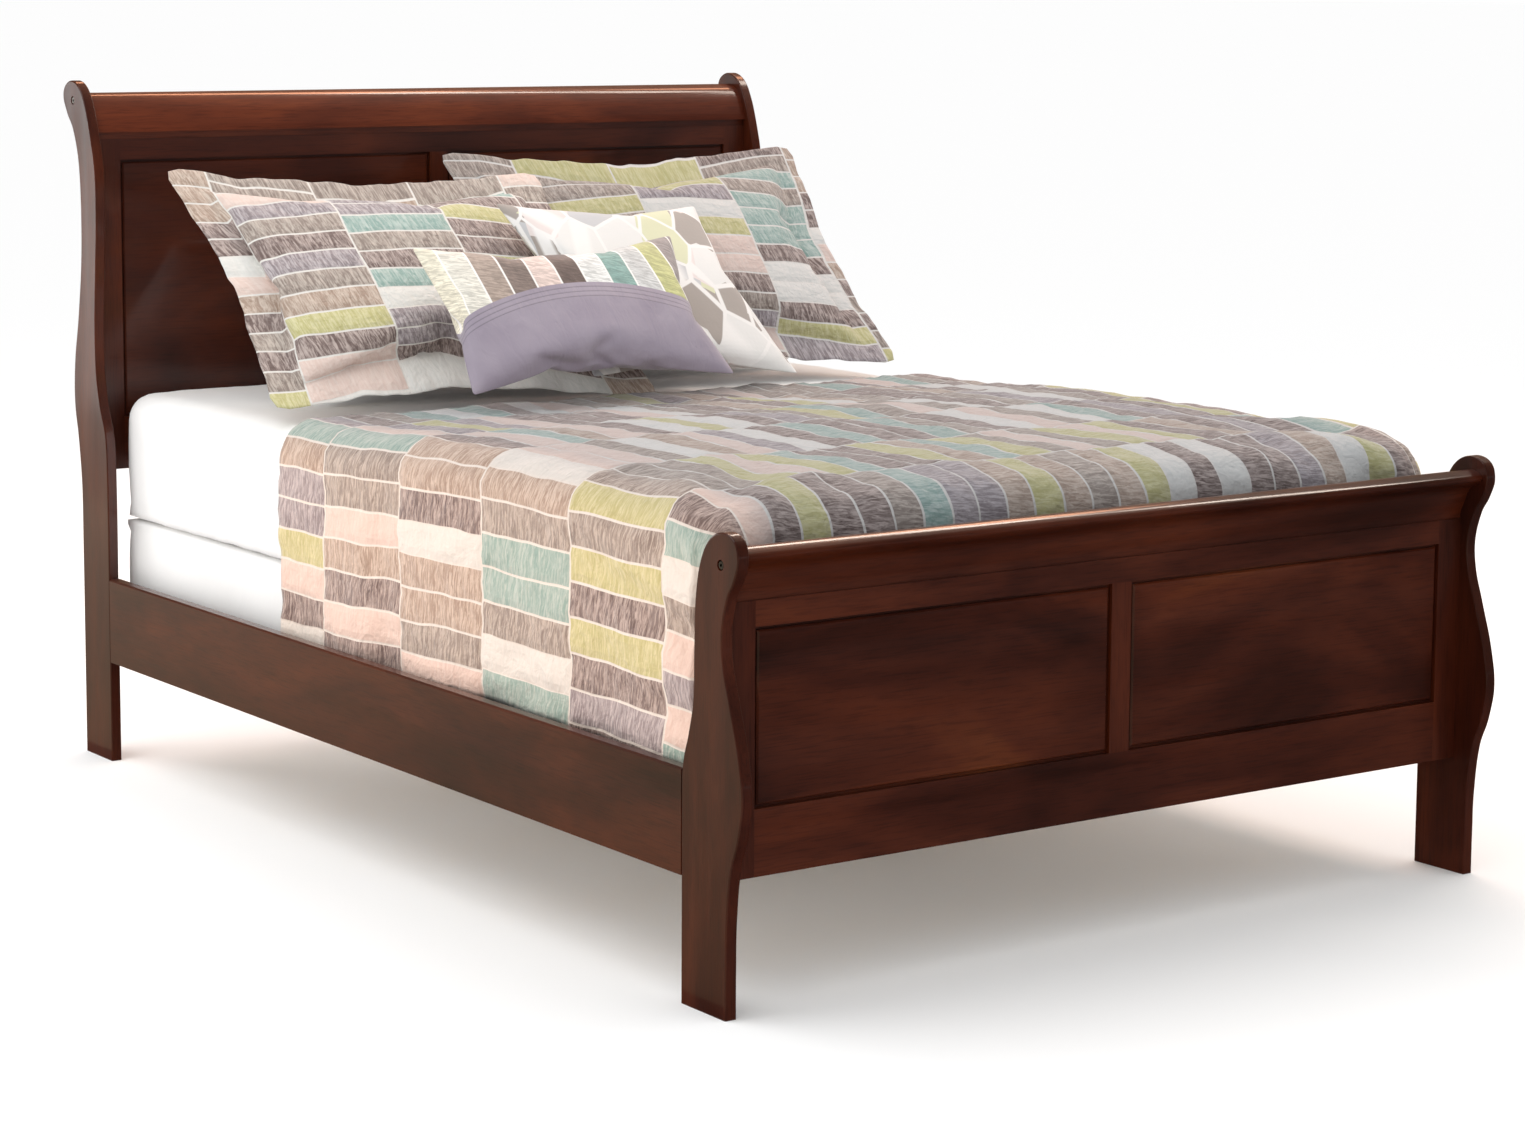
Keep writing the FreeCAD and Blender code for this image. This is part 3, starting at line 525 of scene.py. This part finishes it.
# ---------- cushions: two panels sewn at the edge and blown up by a cloth simulation
def flatCushion(name, wide, tall, step=0.0115):
    countX, countZ = int(wide / step), int(tall / step)
    points, uvs, faces = [], [], []
    slim = 0.0015
    for face in (-1, 1):
        for j in range(countZ + 1):
            for i in range(countX + 1):
                a, b = 2 * i / countX - 1, 2 * j / countZ - 1
                dome = max(0.0, (1 - abs(a) ** 3.0) * (1 - abs(b) ** 3.0)) ** 0.6
                depth = slim + ((0.004 * dome))
                pull = 1
                pullZ = 1
                points.append((a * wide / 2 * pull, face * depth, b * tall / 2 * pullZ))
                uvs.append((a * wide / 2, b * tall / 2))
    row = countX + 1
    sheetCount = row * (countZ + 1)
    for face in (0, 1):
        for j in range(countZ):
            for i in range(countX):
                a = face * sheetCount + j * row + i
                quad = (a, a + 1, a + row + 1, a + row)
                faces.append(quad if face == 0 else quad[::-1])
    rim = ([i for i in range(countX)] + [j * row + countX for j in range(countZ)]
           + [countZ * row + i for i in range(countX, 0, -1)] + [j * row for j in range(countZ, 0, -1)])
    for n, a in enumerate(rim):
        b = rim[(n + 1) % len(rim)]
        faces.append((b, a, a + sheetCount, b + sheetCount))
    item = fromPoints(name, points, faces, uvs)
    item["rim"] = rim
    item["sheetCount"] = sheetCount
    return item


cushionSizes = {
    "bed_pillow_left": dict(wide=0.480, tall=0.410, thick=0.080, place=(-0.260, -0.480, 0.682), lean=55,
                            turn=0, spin=0, flange=0, body="mattress"),
    "bed_pillow_right": dict(wide=0.480, tall=0.410, thick=0.080, place=(0.330, -0.394, 0.681), lean=51,
                             turn=0, spin=0, flange=0, body="mattress"),
    "sham_left": dict(wide=0.740, tall=0.590, thick=0.115, place=(-0.305, -0.675, 0.683), lean=51.2,
                      turn=0, spin=3, flange=0.045, puff=2.0, body="sham_left"),
    "sham_right": dict(wide=0.735, tall=0.580, thick=0.115, place=(0.276, -0.580, 0.695), lean=49,
                       turn=-8, spin=0, flange=0.045, puff=2.0, body="sham_right"),
    "square_pillow": dict(wide=0.450, tall=0.440, thick=0.085, place=(0.119, -0.742, 0.710), lean=49.7,
                          turn=5, spin=4, flange=0, puff=2.0, body="square_pillow"),
    "lumbar_pillow": dict(wide=0.510, tall=0.325, thick=0.090, place=(-0.138, -0.843, 0.717), lean=44.4,
                          turn=-5, spin=-1, flange=0, puff=1.8, body="lumbar_pillow"),
}
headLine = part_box("headboard_stile_left")[1].y + 0.020    # back edge of the headboard's legs
# cotton over soft filling: stiffness and pressure that give drawn-in sides and pointed corners
filling = {"quality": 6, "mass": 0.25, "tension": 25, "compression": 20, "bending": 0.3, "pressure": 1.6,
           "frames": 36}
cushions = {}
for name, s in cushionSizes.items():
    inner = s["flange"] * 2
    cushions[name] = flatCushion(name + "_soft", s["wide"] - inner, s["tall"] - inner)

for item in cushions.values():
    cloth = item.modifiers.new("fill", "CLOTH")
    cloth.settings.quality = filling["quality"]
    cloth.settings.mass = filling["mass"]
    cloth.settings.tension_stiffness = filling["tension"]
    cloth.settings.compression_stiffness = filling["compression"]
    cloth.settings.bending_stiffness = filling["bending"]
    cloth.settings.use_pressure = True
    cloth.settings.uniform_pressure_force = filling["pressure"]
    cloth.settings.effector_weights.gravity = 0
    cloth.point_cache.frame_end = filling["frames"]
# each cushion keeps the shape it has when it is as thick as it should be
filled = {}
for number in range(1, filling["frames"] + 1):
    bpy.context.scene.frame_set(number)
    graph = bpy.context.evaluated_depsgraph_get()
    for name, item in cushions.items():
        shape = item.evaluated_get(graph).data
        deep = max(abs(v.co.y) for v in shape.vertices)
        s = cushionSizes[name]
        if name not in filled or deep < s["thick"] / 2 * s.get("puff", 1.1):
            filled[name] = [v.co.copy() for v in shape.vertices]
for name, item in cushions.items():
    item.modifiers.clear()
    for vertex, place in zip(item.data.vertices, filled[name]):
        vertex.co = place
    print(name, "half thickness", round(max(abs(p.y) for p in filled[name]), 4))
bpy.context.scene.frame_set(1)
print("cushions filled")


def placeCushion(name, item, s):
    mesh = item.data
    rim, sheetCount = list(item["rim"]), item["sheetCount"]
    points = [v.co.copy() for v in mesh.vertices]
    lowX, highX = min(p.x for p in points), max(p.x for p in points)
    lowZ, highZ = min(p.z for p in points), max(p.z for p in points)
    deep = max(abs(p.y) for p in points)
    inner = s["flange"] * 2
    scale = Vector(((s["wide"] - inner) / (highX - lowX), s["thick"] / 2 / deep,
                    (s["tall"] - inner) / (highZ - lowZ)))
    for vertex in mesh.vertices:
        vertex.co = Vector(((vertex.co.x - (lowX + highX) / 2) * scale.x, vertex.co.y * scale.y,
                            (vertex.co.z - (lowZ + highZ) / 2) * scale.z))
    if s["flange"]:
        growFlange(item, rim, sheetCount, s)
    tilt = (Matrix.Rotation(math.radians(s["turn"]), 3, "Z") @ Matrix.Rotation(math.radians(-s["lean"]), 3, "X")
            @ Matrix.Rotation(math.radians(s["spin"]), 3, "Y"))
    place = Vector((s["place"][0], headLine + s["place"][1], s["place"][2]))
    middle = place + tilt @ Vector((0, 0, s["tall"] / 2))
    for vertex in mesh.vertices:
        vertex.co = middle + tilt @ vertex.co
    mesh.update()
    mesh.polygons.foreach_set("use_smooth", [True] * len(mesh.polygons))


# a flat border sewn outside the seam, rippled where the filling pulls it
flange = {
    "rings": 5, "thick": 0.0036,
    "point": 1.3,             # how far the mitred corners stand out
    "ripple": 0.0055, "pucker": 0.0016, "straighten": 0.55,
}


def growFlange(item, rim, sheetCount, s):
    mesh = item.data
    work = bmesh.new()
    work.from_mesh(mesh)
    work.verts.ensure_lookup_table()
    layer = work.loops.layers.uv["cloth"]
    front = [work.verts[n] for n in rim]
    back = [work.verts[n + sheetCount] for n in rim]
    frontSet, backSet = set(front), set(back)
    bridges = [f for f in work.faces
               if any(v in frontSet for v in f.verts) and any(v in backSet for v in f.verts)]
    bmesh.ops.delete(work, geom=bridges, context="FACES_ONLY")
    halfX, halfZ = s["wide"] / 2 - s["flange"], s["tall"] / 2 - s["flange"]
    flatUv = {}
    for face in work.faces:
        for loop in face.loops:
            flatUv[loop.vert.index] = loop[layer].uv.copy()
    last = []
    for side, base in ((0, front), (1, back)):
        sign = -1 if side == 0 else 1
        levels = []
        for k in range(1, flange["rings"] + 1):
            t = k / flange["rings"]
            ring = []
            for n, vertex in enumerate(base):
                middle = (front[n].co + back[n].co) / 2
                uv = flatUv[vertex.index]
                outX = uv.x / halfX
                outZ = uv.y / halfZ
                grow = Vector((0, 0, 0))
                if abs(outX) > 0.999:
                    grow.x = math.copysign(1, outX)
                if abs(outZ) > 0.999:
                    grow.z = math.copysign(1, outZ)
                around = n / len(rim) * 2 * math.pi
                bumpy = wrinkle((math.cos(around) * 1.6, math.sin(around) * 1.6, s["wide"] * 9), 0.35)
                ripple = flange["ripple"] * t * bumpy + flange["pucker"] * t * math.sin(around * 31 + 3 * bumpy)
                if grow.x and grow.z:
                    grow *= flange["point"]
                target = middle + grow * s["flange"] * t
                # the outer edge straightens towards the cut rectangle
                straight = Vector((outX * halfX, 0, outZ * halfZ)) + grow * s["flange"] * t
                target = target.lerp(straight, flange["straighten"] * t)
                target.y = middle.y * (1 - t) + ripple + sign * flange["thick"] / 2
                new = work.verts.new(target)
                ring.append((new, uv + Vector((grow.x, grow.z)) * s["flange"] * t))
            levels.append(ring)
        last.append(levels[-1])
        below = [(v, flatUv[v.index]) for v in base]
        for ring in levels:
            for n in range(len(ring)):
                m = (n + 1) % len(ring)
                quad = [below[n], below[m], ring[m], ring[n]]
                if side == 0:
                    quad = quad[::-1]
                if len({q[0] for q in quad}) == 4:
                    face = work.faces.new([q[0] for q in quad])
                    for loop, q in zip(face.loops, quad):
                        loop[layer].uv = q[1]
            below = ring
    for n in range(len(rim)):
        m = (n + 1) % len(rim)
        quad = [last[0][n], last[0][m], last[1][m], last[1][n]]
        face = work.faces.new([q[0] for q in quad])
        for loop, q in zip(face.loops, quad):
            loop[layer].uv = q[1]
    bmesh.ops.recalc_face_normals(work, faces=work.faces)
    work.to_mesh(mesh)
    work.free()


# ---------- cushion cloths
def squarePrint(name):
    material, tree, shader = newMaterial(name)
    uv = addNode(tree, "UVMap", {"uv_map": "cloth"}).outputs[0]
    spread = addNode(tree, "Mapping", Vector=uv, Rotation=(0, 0, 0.5), Scale=(13.5, 10.0, 1.0))
    cells = addNode(tree, "TexVoronoi", {"feature": "F1", "distance": "CHEBYCHEV"}, Vector=spread.outputs[0],
                    Scale=1.0, Randomness=0.75)
    edges = addNode(tree, "TexVoronoi", {"feature": "DISTANCE_TO_EDGE"}, Vector=spread.outputs[0], Scale=1.0,
                    Randomness=0.75)
    pick = addNode(tree, "SeparateColor", n0=cells.outputs["Color"]).outputs[0]
    tone = setRamp(addNode(tree, "ValToRGB", Fac=pick),
                   [(0.0, colour("#9d958f")), (0.2, colour("#d9d8d6")), (0.36, colour("#cccdae")),
                    (0.48, colour("#bcbcbe")), (0.66, colour("#d8cecb")), (0.8, colour("#d9d8d6"))], "CONSTANT")
    line = addNode(tree, "MapRange", n0=edges.outputs[0], n1=0.03, n2=0.05).outputs[0]
    whole = addNode(tree, "Mix", {"data_type": "RGBA"}, n0=line, n6=colour("#e2e0de"), n7=tone.outputs[0])
    tree.links.new(whole.outputs[2], shader.inputs["Base Color"])
    crease = addNode(tree, "TexNoise", Vector=uv, Scale=22.0, Detail=3.0, Distortion=1.0)
    first = addNode(tree, "Bump", Strength=0.3, Distance=0.003, Height=crease.outputs[0])
    second = addNode(tree, "Bump", Strength=0.15, Distance=0.0006, Height=weave(tree, uv),
                     Normal=first.outputs[0])
    tree.links.new(second.outputs[0], shader.inputs["Normal"])
    softShader(shader)
    return material


# satin-faced lavender cotton, with a pieced band above three pintucks
lumbar = {
    "lavender": "#a39aa6", "deep": "#857b8c", "tuckAt": 0.030, "arch": 0.95, "tuckGap": 0.010,
    "stripes": ["#f4edd8", "#f0ece0", "#b5a397", "#8d7c74", "#eed8cf", "#6f5e58", "#f1f1ee", "#8fb3ac",
                "#d5d6d5", "#c9ca8c", "#9d9493"],
}


def lumbarCloth(name, wide):
    material, tree, shader = newMaterial(name)
    add, times, divide, least, subtract = (
        {"operation": o} for o in ("ADD", "MULTIPLY", "DIVIDE", "MINIMUM", "SUBTRACT"))
    uv = addNode(tree, "UVMap", {"uv_map": "cloth"})
    parts = addNode(tree, "SeparateXYZ", n0=uv)
    u, v = parts.outputs[0], parts.outputs[1]

    # pieced stripes, brushed on the slant, with pale seams
    lean = addNode(tree, "Math", times, n0=v, n1=0.08)
    lean = addNode(tree, "Math", add, n0=u, n1=lean)
    share = addNode(tree, "Math", divide, n0=lean, n1=wide)
    share = addNode(tree, "Math", add, n0=share, n1=0.5)
    stops = [(n / len(lumbar["stripes"]), colour(c)) for n, c in enumerate(lumbar["stripes"])]
    stripe = setRamp(addNode(tree, "ValToRGB", Fac=share), stops, "CONSTANT")
    lengthways = addNode(tree, "Math", times, n0=u, n1=40.0)
    leaning = addNode(tree, "Math", times, n0=u, n1=0.35)
    leaning = addNode(tree, "Math", add, n0=v, n1=leaning)
    crossways = addNode(tree, "Math", times, n0=leaning, n1=240.0)
    slant = addNode(tree, "CombineXYZ", X=lengthways, Y=crossways)
    marks = addNode(tree, "TexNoise", Vector=slant, Scale=1.0, Detail=4.0, Roughness=0.65, Distortion=0.8)
    hard = addNode(tree, "MapRange", n0=marks, n1=0.42, n2=0.6, n3=0.62, n4=1.0)
    brushed = addNode(tree, "Mix", {"data_type": "RGBA", "blend_type": "MULTIPLY"}, n0=1.0, n6=stripe, n7=hard)
    within = addNode(tree, "Math", times, n0=share, n1=float(len(stops)))
    within = addNode(tree, "Math", {"operation": "FRACT"}, n0=within)
    opposite = addNode(tree, "Math", subtract, n0=1.0, n1=within)
    edge = addNode(tree, "Math", least, n0=within, n1=opposite)
    seam = addNode(tree, "MapRange", n0=edge, n1=0.025, n2=0.05, n3=1.0, n4=0.0)
    band = addNode(tree, "Mix", {"data_type": "RGBA"}, n0=seam, n6=brushed.outputs[2], n7=colour("#efece8"))

    # the band's lower edge arches up in the middle
    arch = addNode(tree, "Math", times, n0=u, n1=u)
    arch = addNode(tree, "Math", times, n0=arch, n1=lumbar["arch"])
    v = addNode(tree, "Math", add, n0=v, n1=arch)
    upper = addNode(tree, "MapRange", n0=v, n1=lumbar["tuckAt"], n2=lumbar["tuckAt"] + 0.001)
    cloud = addNode(tree, "TexNoise", Vector=uv, Scale=12.0, Detail=2.0)
    plain = addNode(tree, "Mix", {"data_type": "RGBA"}, n0=cloud, n6=colour(lumbar["lavender"]),
                    n7=colour(lumbar["deep"]))
    whole = addNode(tree, "Mix", {"data_type": "RGBA"}, n0=upper, n6=plain.outputs[2], n7=band.outputs[2])

    # three pintucks just under the band
    below = addNode(tree, "Math", subtract, n0=lumbar["tuckAt"], n1=v)
    below = addNode(tree, "Math", divide, n0=below, n1=lumbar["tuckGap"])
    started = addNode(tree, "Math", {"operation": "GREATER_THAN"}, n0=below, n1=0.0)
    ended = addNode(tree, "Math", {"operation": "LESS_THAN"}, n0=below, n1=3.0)
    inTucks = addNode(tree, "Math", times, n0=started, n1=ended)
    step = addNode(tree, "Math", {"operation": "FRACT"}, n0=below)
    step = addNode(tree, "Math", times, n0=step, n1=inTucks)
    tuckShade = addNode(tree, "MapRange", n0=step, n1=0.7, n2=1.0, n3=1.0, n4=0.55)
    whole = addNode(tree, "Mix", {"data_type": "RGBA", "blend_type": "MULTIPLY"}, n0=1.0, n6=whole.outputs[2],
                    n7=tuckShade)
    tree.links.new(whole.outputs[2], shader.inputs["Base Color"])
    stretched = addNode(tree, "Mapping", Vector=uv, Scale=(2.2, 0.8, 1))
    crease = addNode(tree, "TexNoise", Vector=stretched, Scale=16.0, Detail=3.0, Distortion=1.5)
    raised = addNode(tree, "Math", times, n0=step, n1=0.5)
    height = addNode(tree, "Math", add, n0=crease, n1=raised)
    first = addNode(tree, "Bump", Strength=0.4, Distance=0.005, Height=height)
    second = addNode(tree, "Bump", Strength=0.12, Distance=0.0005, Height=weave(tree, uv), Normal=first)
    tree.links.new(second.outputs[0], shader.inputs["Normal"])
    softShader(shader, roughness=0.6, sheen=0.35)
    return material


shamBrick = dict(columnMm=patchwork["shamColumnMm"], rowMm=patchwork["shamRowMm"], turned=True, faded=0.1)
cloths = {
    "bed_pillow_left": (sheetWhite, "white_cotton"),
    "bed_pillow_right": (sheetWhite, "white_cotton"),
    # both shams are multiplied by an even grey through the side tint, the right one darker: painted shade
    "sham_left": (patchworkCotton("patchworkShamLeft", seed=7.55, side=(0.0, 1.0, "#e4e2e1", "#e4e2e1"),
                                  **shamBrick), "patchwork_cotton"),
    "sham_right": (patchworkCotton("patchworkShamRight", seed=3.2, side=(0.0, 1.0, "#c8c7c9", "#c8c7c9"),
                                   **shamBrick), "patchwork_cotton"),
    "square_pillow": (squarePrint("printedSquareCotton"), "square_print"),
    "lumbar_pillow": (lumbarCloth("lavenderCottonWithBand", cushionSizes["lumbar_pillow"]["wide"]),
                      "lumbar_cotton"),
}
for name, item in cushions.items():
    s = cushionSizes[name]
    placeCushion(name, item, s)
    only(item)
    refine = item.modifiers.new("refine", "SUBSURF")
    refine.levels = refine.render_levels = 1
    bpy.ops.object.modifier_apply(modifier=refine.name)
    material, slot = cloths[name]
    item.data.materials.append(material)
    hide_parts(name)
    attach(item, s["body"])
print("cushions placed")

# ---------- stage, light and camera
bpy.ops.object.select_all(action="DESELECT")
bpy.ops.mesh.primitive_plane_add(size=400, location=(0, 0, 0))
floor = bpy.context.object
floor.name = "studio_floor"
floorPaint, floorTree, floorShader = newMaterial("paleStudioFloor")
floorShader.inputs["Base Color"].default_value = colour("#fdfdfd")
floorShader.inputs["Roughness"].default_value = 0.9
floorShader.inputs["Specular IOR Level"].default_value = 0.0
floor.data.materials.append(floorPaint)

# a white room; gloss sees a dim one, so that the lacquer keeps its depth
world = bpy.data.worlds.new("studio")
world.use_nodes = True
bpy.context.scene.world = world
worldTree = world.node_tree
sky = worldTree.nodes["Background"]
rays = addNode(worldTree, "LightPath")
heading = addNode(worldTree, "SeparateXYZ", n0=addNode(worldTree, "TexCoord").outputs["Generated"])
glossLevel = addNode(worldTree, "MapRange", n0=heading.outputs[1], n1=-0.75, n2=-0.1, n3=0.03, n4=0.2)
unseen = addNode(worldTree, "Mix", {"data_type": "FLOAT"}, n0=rays.outputs["Is Glossy Ray"], n2=1.0,
                 n3=glossLevel.outputs[0])
level = addNode(worldTree, "Mix", {"data_type": "FLOAT"}, n0=rays.outputs["Is Camera Ray"],
                n2=unseen.outputs[0], n3=1.0)
worldTree.links.new(level.outputs[0], sky.inputs["Strength"])
warmRoom = addNode(worldTree, "Mix", {"data_type": "RGBA"}, n0=rays.outputs["Is Glossy Ray"],
                   n6=colour("#ffffff"), n7=colour("#ffd8b4"))
worldTree.links.new(warmRoom.outputs[2], sky.inputs["Color"])

# cards lie on the floor, where only gloss sees them: dark under the bed and in front, olive at the left
def floorCard(name, shade, lowX, highX):
    bpy.ops.object.select_all(action="DESELECT")
    bpy.ops.mesh.primitive_plane_add(size=1, location=((lowX + highX) / 2, 0, 0.001))
    card = bpy.context.object
    card.name = name
    card.scale = (highX - lowX, 60, 1)
    bpy.ops.object.transform_apply(location=True, rotation=True, scale=True)
    material, tree, shader = newMaterial(name + "Paint")
    shader.inputs["Base Color"].default_value = colour(shade)
    shader.inputs["Roughness"].default_value = 1.0
    card.data.materials.append(material)
    card.visible_camera = card.visible_diffuse = card.visible_shadow = card.visible_transmission = False


floorCard("darkCard", "#2a2523", -0.76, 30)
floorCard("oliveCard", "#8c8267", -30, -0.76)
bpy.context.scene.view_settings.view_transform = "Standard"


# soft boxes: where each hangs, what it points at, its width and height in metres, watts and colour
lights = {
    "key": ((-2.6, 0.6, 3.9), (0, 0, 0.6), 3.2, 3.2, 60, "#ffffff"),
    "footStrip": ((2.3, 0.7, 3.5), (0, -1.0, 0.65), 3.8, 0.26, 46, "#fff0e2"),
    "headStrip": ((2.3, 2.7, 4.0), (0, 1.0, 1.2), 3.8, 0.40, 46, "#ffb48c"),
    "leftCard": ((-2.6, 3.7, 0.85), (-0.72, 1.0, 0.95), 1.0, 1.2, 26, "#ffffff"),
}


def areaLight(name, place, target, wide, tall, power, shade):
    lamp = bpy.data.lights.new(name, "AREA")
    lamp.shape = "RECTANGLE"
    lamp.size, lamp.size_y, lamp.energy = wide, tall, power
    lamp.color = colour(shade)[:3]
    item = bpy.data.objects.new(name, lamp)
    item.location = place
    item.rotation_euler = (Vector(target) - Vector(place)).to_track_quat("-Z", "Y").to_euler()
    bpy.context.collection.objects.link(item)
    return item


for name, settings in lights.items():
    areaLight(name, *settings)

cameraSizes = {
    "place": (-3.383, -4.853, 1.404), "turn": 35.39, "dip": 7.34, "roll": -0.38,
    "focal": 3530, "imageWide": 1525, "middleX": 762.5, "middleY": 435, "imageTall": 1144,
}


def setCamera(s):
    lens = bpy.data.cameras.new("view")
    lens.sensor_width = 36
    lens.lens = s["focal"] / s["imageWide"] * 36
    lens.shift_y = (s["middleY"] - s["imageTall"] / 2) / s["imageWide"]
    item = bpy.data.objects.new("view", lens)
    bpy.context.collection.objects.link(item)
    turn, dip, roll = (math.radians(s[k]) for k in ("turn", "dip", "roll"))
    forward = Vector((math.sin(turn) * math.cos(dip), math.cos(turn) * math.cos(dip), -math.sin(dip)))
    right = Vector((math.cos(turn), -math.sin(turn), 0))
    upward = right.cross(forward)
    rolledRight = right * math.cos(roll) - upward * math.sin(roll)
    rolledUp = right * math.sin(roll) + upward * math.cos(roll)
    turned = Matrix((rolledRight, rolledUp, -forward)).transposed()
    item.matrix_world = Matrix.Translation(s["place"]) @ turned.to_4x4()
    bpy.context.scene.camera = item


setCamera(cameraSizes)

print("scene ready")
